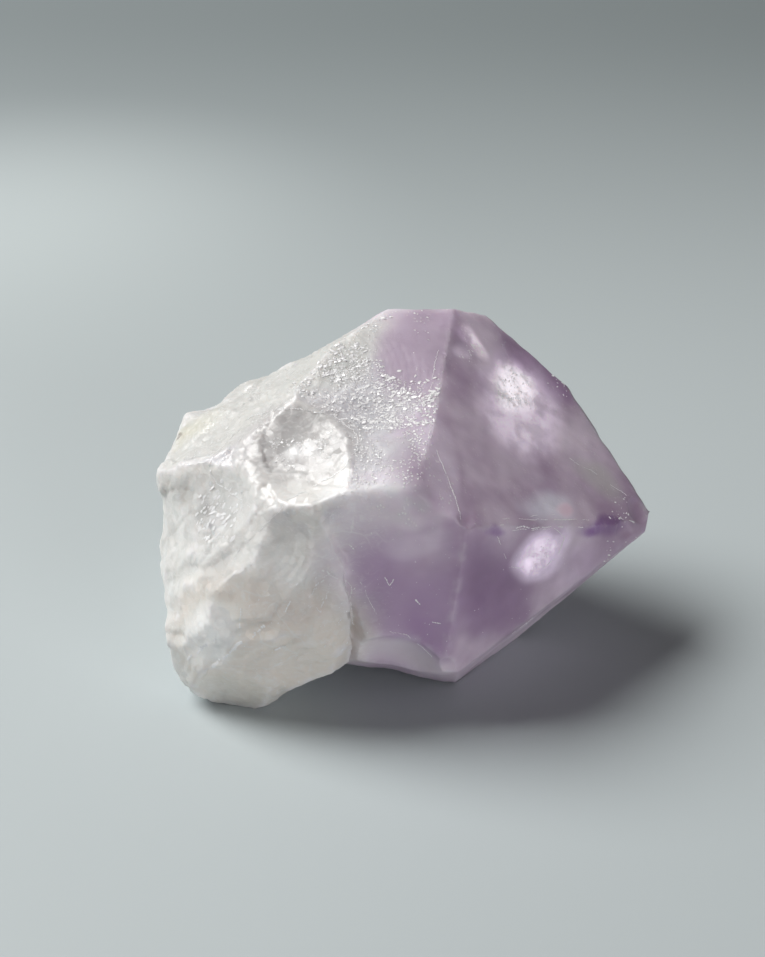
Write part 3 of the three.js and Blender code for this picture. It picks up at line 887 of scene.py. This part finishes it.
# The crystal face they lie under, and where; they reach sideways, up the face and deep
veils = (
    {"face": "frontPrism", "at": (-4.0, -25.5, 27.0), "reach": (11.0, 8.0, 1.2), "under": 2.0, "count": 26,
     "size": (0.2, 0.6)},
    {"face": "frontTip", "at": (16.0, -19.0, 18.0), "reach": (10.0, 8.0, 1.2), "under": 2.0, "count": 20,
     "size": (0.2, 0.5)},
)
veilShape = {
    "seed": 5,
    "spread": 0.5,
    "looks": (-0.39, -0.40, 0.83),
    "jitter": 0.30,
    "thick": 0.05,
    "sides": (5, 8),
}

# Every flake is a low cone cut off at the top, with its corners drawn in by different shares
flakeShape = {"top": 0.8, "corners": (0.72, 1.0)}


def addFlake(bm, pick, centre, normal, size, shape, stretch=1.0, along=None):
    side = along or looseVector(pick)
    side = (side - normal * side.dot(normal)).normalized()
    turned = Matrix((side * stretch, normal.cross(side), normal)).transposed().to_4x4()
    turned.translation = centre * mm
    made = bmesh.ops.create_cone(
        bm, cap_ends=True, segments=pick.randint(*shape["sides"]), radius1=size * mm,
        radius2=size * flakeShape["top"] * mm, depth=shape["thick"] * mm, matrix=turned)
    for vert in made["verts"]:
        vert.co = (centre * mm).lerp(vert.co, pick.uniform(*flakeShape["corners"]))


def finishFlakes(bm, name, material):
    bmesh.ops.recalc_face_normals(bm, faces=bm.faces)
    mesh = bpy.data.meshes.new(name)
    bm.to_mesh(mesh)
    bm.free()
    piece = bpy.data.objects.new(name, mesh)
    scene.collection.objects.link(piece)
    mesh.materials.append(material)
    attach(piece, "root")


def makeVeils(shape):
    pick = random.Random(shape["seed"])
    material, tree, output = newMaterial("silveryVeils")
    surface = addNode(tree, "ShaderNodeBsdfPrincipled", {
        "Base Color": (*veilLook["colour"], 1), "Roughness": veilLook["roughness"],
        "Metallic": veilLook["metallic"],
    })
    tree.links.new(surface.outputs[0], output.inputs["Surface"])
    bm = bmesh.new()
    for veil in veils:
        face = faceDirection(stoneFaces[veil["face"]])
        sideways = face.cross(Vector((0, 0, 1))).normalized()
        upwards = sideways.cross(face)
        reach = veil["reach"]
        for flake in range(veil["count"]):
            aside, up, deep = (pick.gauss(0, shape["spread"]) for axis in range(3))
            centre = Vector(veil["at"]) - face * (veil["under"] + max(-1.0, min(1.0, deep)) * reach[2])
            centre += sideways * aside * reach[0] + upwards * up * reach[1]
            normal = Vector(shape["looks"]) + roundVector(pick) * shape["jitter"]
            addFlake(bm, pick, centre, normal.normalized(), pick.uniform(*veil["size"]), shape)
    finishFlakes(bm, "innerVeils", material)


# Quartz grains that stand on the upper face, and smaller specks, crumbs and hairs elsewhere

grainLook = {
    "colour": (0.95, 0.95, 0.96),
    "roughness": 0.22,
    "castFrom": 25,  # how far out each one starts on its way to the surface
    "facing": 0.93,  # how squarely the surface has to look their way, unless a set says otherwise
    "handful": 1000,  # corners made at a time
}

# Each set is thrown onto the stone from a box, in clumps
grainSets = (
    # sugar on the upper face
    {"seed": 3, "count": 1500, "face": "upperPrism", "low": (-20, -12, 52), "high": (6, 15, 52),
     "size": (0.08, 0.36), "stretch": (1.0, 2.6), "along": (1.0, 0.15, -0.1), "turn": 0.6, "thick": 0.16,
     "tilt": 0.3, "sides": (4, 7), "clump": 4.0, "clumpFrom": -0.25},
    {"seed": 8, "count": 1500, "face": "upperPrism", "low": (-14, -24, 48), "high": (9, 6, 48),
     "size": (0.08, 0.24), "stretch": (1.0, 1.8), "along": (1.0, 0.15, -0.1), "turn": 0.8, "thick": 0.12,
     "tilt": 0.4, "sides": (4, 6), "clump": 5.0, "clumpFrom": -0.02},
    # fine white specks on the clear faces
    {"seed": 4, "count": 90, "face": "frontPrism", "low": (-12, -26, 12), "high": (9, -24, 41),
     "size": (0.04, 0.09), "stretch": (1.0, 3.0), "along": (0.3, 0, 1), "turn": 1.5, "thick": 0.05,
     "tilt": 0.1, "sides": (4, 5), "clump": 5.0, "clumpFrom": -0.2},
    {"seed": 6, "count": 60, "face": "frontTip", "low": (10, -24, 8), "high": (32, -6, 32),
     "size": (0.04, 0.09), "stretch": (1.0, 3.0), "along": (0.6, 0.4, -0.6), "turn": 1.5, "thick": 0.05,
     "tilt": 0.1, "sides": (4, 5), "clump": 5.0, "clumpFrom": -0.2},
    # slivers in the painted bright patch, the painted bright spots and the painted gleam
    {"seed": 12, "count": 80, "face": "broadTip", "low": (14.5, 5, 41), "high": (22, 13.5, 48),
     "size": (0.07, 0.20), "stretch": (1.6, 3.6), "along": (0.5, 0.7, 0.5), "turn": 0.6, "thick": 0.06,
     "tilt": 0.1, "sides": (4, 6), "clump": 2.2, "clumpFrom": 0.05},
    {"seed": 14, "count": 26, "face": "broadTip", "low": (7.5, 6, 51), "high": (12.5, 12.5, 53),
     "size": (0.07, 0.20), "stretch": (1.5, 3.0), "along": (0.7, -0.3, -0.6), "turn": 0.6, "thick": 0.06,
     "tilt": 0.1, "sides": (4, 6), "clump": 2.0, "clumpFrom": -0.05},
    {"seed": 15, "count": 24, "face": "frontTip", "low": (18, -17, 23), "high": (25, -12, 28),
     "size": (0.06, 0.16), "stretch": (1.5, 3.0), "along": (0.75, 0.6, 0.1), "turn": 0.8, "thick": 0.06,
     "tilt": 0.1, "sides": (4, 6), "clump": 2.0, "clumpFrom": 0.0},
    # crumbs on the upper right edge and the chipped tip
    {"seed": 23, "count": 24, "face": "broadTip", "low": (24.5, 15, 38), "high": (30.5, 20, 43),
     "size": (0.08, 0.32), "stretch": (1.0, 2.5), "along": (0.6, -0.2, -0.7), "turn": 0.8, "thick": 0.12,
     "tilt": 0.25, "sides": (4, 6), "clump": 2.0, "clumpFrom": -0.1},
    {"seed": 16, "count": 26, "face": "broadTip", "low": (35, -4, 23), "high": (42, 4, 27),
     "size": (0.08, 0.28), "stretch": (1.0, 2.5), "along": (0.7, 0.5, -0.3), "turn": 0.8, "thick": 0.14,
     "tilt": 0.3, "sides": (4, 6), "clump": 2.0, "clumpFrom": -0.3},
    {"seed": 17, "count": 26, "face": "frontTip", "low": (33, -7, 18), "high": (42, 0, 24),
     "size": (0.08, 0.24), "stretch": (1.0, 2.5), "along": (0.7, 0.5, -0.3), "turn": 0.8, "thick": 0.14,
     "tilt": 0.3, "sides": (4, 6), "clump": 2.0, "clumpFrom": -0.2},
    # root: sparkles on the plate scar, shards in the hollow, hairs on the slab, specks on the lobe
    {"seed": 18, "count": 150, "face": "plateScar", "low": (-23, -16, 43), "high": (-12, -10, 47),
     "size": (0.06, 0.24), "stretch": (1.0, 2.6), "along": (0.9, -0.2, 0.3), "turn": 1.0, "thick": 0.08,
     "tilt": 0.2, "sides": (4, 6), "clump": 2.5, "clumpFrom": 0.0, "onPlate": True},
    {"seed": 19, "count": 110, "face": "hollow", "low": (-36, -20, 30), "high": (-27, -12, 39), "facing": 0.6,
     "size": (0.08, 0.45), "stretch": (1.2, 3.0), "along": (0.4, 0, 0.9), "turn": 0.4, "thick": 0.07,
     "tilt": 0.12, "sides": (4, 6), "clump": 3.0, "clumpFrom": -0.1},
    {"seed": 20, "count": 320, "face": "slabTop", "low": (-38, -8, 44), "high": (-14, 12, 48), "facing": 0.8,
     "size": (0.04, 0.11), "stretch": (3.0, 9.0), "along": (0.8, 0.3, 0.4), "turn": 0.5, "thick": 0.05,
     "tilt": 0.05, "sides": (4, 5), "clump": 6.0, "clumpFrom": -0.1},
    {"seed": 22, "count": 190, "face": "lobe", "low": (-35, -30, 5), "high": (-9, -27, 31), "facing": 0.8,
     "size": (0.04, 0.13), "stretch": (1.0, 4.0), "along": (0.5, 0, 0.8), "turn": 0.5, "thick": 0.06,
     "tilt": 0.1, "sides": (4, 5), "clump": 4.0, "clumpFrom": -0.2},
)


def pourFlakes(handful, bm):
    # operators slow down as a mesh grows, so flakes are made in a small one first
    mesh = bpy.data.meshes.new("handful")
    handful.to_mesh(mesh)
    handful.clear()
    bm.from_mesh(mesh)
    bpy.data.meshes.remove(mesh)


def makeGrains(sets):
    material, tree, output = newMaterial("sugarGrains")
    surface = addNode(tree, "ShaderNodeBsdfPrincipled", {
        "Base Color": (*grainLook["colour"], 1), "Roughness": grainLook["roughness"],
    })
    tree.links.new(surface.outputs[0], output.inputs["Surface"])
    bm = bmesh.new()
    handful = bmesh.new()
    for shape in sets:
        face = faceDirection(stoneFaces[shape["face"]])
        pick = random.Random(shape["seed"])
        made = 0
        while made < shape["count"]:
            spot = Vector([pick.uniform(low, high) for low, high in zip(shape["low"], shape["high"])])
            if noise.noise(spot / shape["clump"]) < shape["clumpFrom"]:
                continue
            away = (spot - Vector(barePatch["at"])).length
            if away < barePatch["radius"] and pick.random() < barePatch["bare"]:
                continue
            made += 1
            cast = stone.ray_cast((spot + face * grainLook["castFrom"]) * mm, -face)
            found, place, normal = cast[:3]
            if not found or normal.dot(face) < shape.get("facing", grainLook["facing"]):
                continue
            away = (place / mm - Vector(plateBowl["centre"])).length
            if (away < plateBowl["radius"] + plateBowl["reach"]) != shape.get("onPlate", False):
                continue
            normal += Vector((pick.gauss(0, 1), pick.gauss(0, 1), 0)) * shape["tilt"]
            along = Vector(shape["along"]) + Vector((0, pick.gauss(0, 1), 0)) * shape["turn"]
            least, largest = shape["size"]
            size = least + (largest - least) * pick.random() ** 2
            stretch = pick.uniform(*shape["stretch"])
            if len(handful.verts) > grainLook["handful"]:
                pourFlakes(handful, bm)
            addFlake(handful, pick, place / mm, normal.normalized(), size, shape, stretch, along)
    pourFlakes(handful, bm)
    handful.free()
    finishFlakes(bm, "sugarGrains", material)


# Thin nicks and healed cracks on the faces, and bright rims on the root that are partly painted highlights,
# as slim slivers along their lines

nickAndHighlightLines = (
    # tip faces
    {"points": ((27.9, 2.7, 34), (32, 3.4, 31.2), (38.6, 3.9, 25.9)), "wide": 0.05, "broken": 0.2},
    {"points": ((14.8, -19.8, 34.1), (22, -14.6, 30.6), (31, -7.5, 26.5)), "wide": 0.09, "broken": 0.55},
    {"points": ((15.5, -18.6, 35.0), (22.5, -13.2, 31.6), (31, -6.3, 27.4)), "wide": 0.06, "broken": 0.5},
    {"points": ((17, -17.4, 34.9), (25, -10.6, 31.2)), "wide": 0.05, "broken": 0.45},
    {"points": ((16, -19.4, 33.2), (24, -13.4, 29.4)), "wide": 0.05, "broken": 0.5},
    {"points": ((14.5, -20.4, 32.5), (17, -19.6, 26), (20.5, -17.2, 23.6)), "wide": 0.05, "broken": 0.35},
    {"points": ((24, -12.4, 29.2), (26.3, -11.2, 27), (25.5, -12.4, 24), (23, -14.5, 22.4)), "wide": 0.07,
     "broken": 0.2},
    {"points": ((24, -14, 10), (20, -18, 8.5)), "wide": 0.06, "broken": 0.3},
    {"points": ((36.5, -1.5, 24.8), (39.5, 0.2, 22.6)), "wide": 0.12, "broken": 0.3},
    {"points": ((37.5, -2.6, 24.0), (40.8, -1.0, 21.5)), "wide": 0.10, "broken": 0.4},
    {"points": ((5.2, 6.2, 53.1), (3.6, -3.7, 49.7), (3.5, -12.2, 46.8)), "wide": 0.05, "broken": 0.25},
    {"points": ((3.5, -12.2, 46.8), (6.6, -18.7, 41.3), (8.6, -23.2, 37.5)), "wide": 0.07, "broken": 0.3},
    # front face
    {"points": ((-3.9, -25.4, 28.0), (-3.3, -25.6, 26.4), (-2.3, -25.5, 27.8)), "wide": 0.12, "broken": -1},
    {"points": ((-9.5, -24.6, 33.4), (-8.6, -24.7, 32.6)), "wide": 0.12, "broken": -1},
    {"points": ((1.1, -26.1, 24.2), (1.9, -26.2, 23.2)), "wide": 0.12, "broken": -1},
    {"points": ((3.9, -26.6, 20.3), (5.3, -26.6, 19.8)), "wide": 0.10, "broken": -1},
    {"points": ((-3, -26.8, 18.5), (-0.2, -27, 17.7), (4.8, -26.3, 11.8)), "wide": 0.06, "broken": 0.2},
    {"points": ((-7.8, -25.4, 27.3), (-4.6, -26.7, 19.6)), "wide": 0.05, "broken": 0.3},
    # rim of the plate scar: white slivers, partly a painted edge highlight
    {"points": ((-29, -1.9, 44.6), (-23.6, -4.4, 47.5), (-18.8, -6.8, 49.1), (-12.4, -8, 48.5),
                (-8.7, -11, 47.3), (-8.1, -14.9, 45.9), (-10.8, -18.1, 44.2), (-15, -19.5, 42.5)),
     "wide": 0.11, "broken": 0.1},
    {"points": ((-28.9, -4.4, 44.7), (-33, -10.9, 40.1), (-32.1, -13.5, 38.1), (-26.3, -19.5, 38)),
     "wide": 0.09, "broken": 0.25},
    {"points": ((-15, -19.5, 42.5), (-21.8, -23.1, 37.9), (-28.9, -23.3, 31.3)), "wide": 0.07, "broken": 0.4},
    # lobe: its bright facet and its right edge, their white slivers painted highlights, and the scaly ripples
    {"points": ((-15.9, -28.9, 25.4), (-13.5, -27.7, 29.4), (-12.1, -27.7, 29.8), (-13.9, -29.5, 24),
                (-15.9, -28.9, 25.4)), "wide": 0.09, "broken": 0.15},
    {"points": ((-13.8, -27.4, 30.3), (-9.3, -25.6, 26.5), (-9, -25, 18.7), (-9.8, -28.2, 16.9)),
     "wide": 0.12, "broken": 0.15},
    {"points": ((-24.1, -28.9, 14.1), (-18.5, -29.2, 18.2)), "wide": 0.34, "broken": 0.25},
    {"points": ((-33.2, -25.9, 9.9), (-27.1, -29.1, 17.6)), "wide": 0.32, "broken": 0.3},
    {"points": ((-36.9, -23.4, 10.3), (-31.5, -26.6, 16.6)), "wide": 0.30, "broken": 0.3},
    {"points": ((-25.6, -29.5, 18.6), (-23.5, -28.8, 20.5)), "wide": 0.30, "broken": 0.0},
    {"points": ((-27.5, -26.9, 22.7), (-27.7, -28, 19.9)), "wide": 0.16, "broken": 0.0},
    {"points": ((-19, -28.7, 25.3), (-20, -29.1, 23.4)), "wide": 0.18, "broken": 0.0},
)
sliverShape = {
    "seed": 21,
    "step": 0.4,
    "gaps": {"size": 2.2, "add": 0.5},  # where this is under a line's broken, the line has a gap
    "widen": 0.5,
    "stray": {"size": 2.5, "by": 0.35},
    "jitter": 0.03,
    "vary": (0.7, 1.3),
    "stretch": {"least": 0.8, "ofStep": 0.75},
    "lift": 0.02,
    "thick": 0.08,
    "sides": (4, 6),
}


def addSliverRow(bm, pick, start, run, wide, broken, shape):
    # a row of slivers along one straight stretch of a line
    steps = max(1, round(run.length / shape["step"]))
    for step in range(steps):
        spot = start + run * ((step + 0.5) / steps)
        gap = noise.noise(spot / shape["gaps"]["size"]) + shape["gaps"]["add"]
        if gap < broken:
            continue
        spot += noise.noise_vector(spot / shape["stray"]["size"]) * shape["stray"]["by"]
        spot += roundVector(pick) * shape["jitter"]
        place, normal = stone.closest_point_on_mesh(spot * mm)[1:3]
        size = wide * (shape["widen"] + gap) * pick.uniform(*shape["vary"])
        stretch = max(shape["stretch"]["least"], shape["stretch"]["ofStep"] * run.length / steps / size)
        addFlake(bm, pick, place / mm + normal * shape["lift"], normal, size, shape, stretch, run)


def makeNicksAndHighlights(shape):
    pick = random.Random(shape["seed"])
    bm = bmesh.new()
    for line in nickAndHighlightLines:
        for start, end in zip(line["points"], line["points"][1:]):
            start = Vector(start)
            addSliverRow(bm, pick, start, Vector(end) - start, line["wide"], line["broken"], shape)
    finishFlakes(bm, "whiteNicksAndHighlights", bpy.data.materials["sugarGrains"])


makeVeils(veilShape)
makeGrains(grainSets)
makeNicksAndHighlights(sliverShape)
print("veils, grains and nicks made")
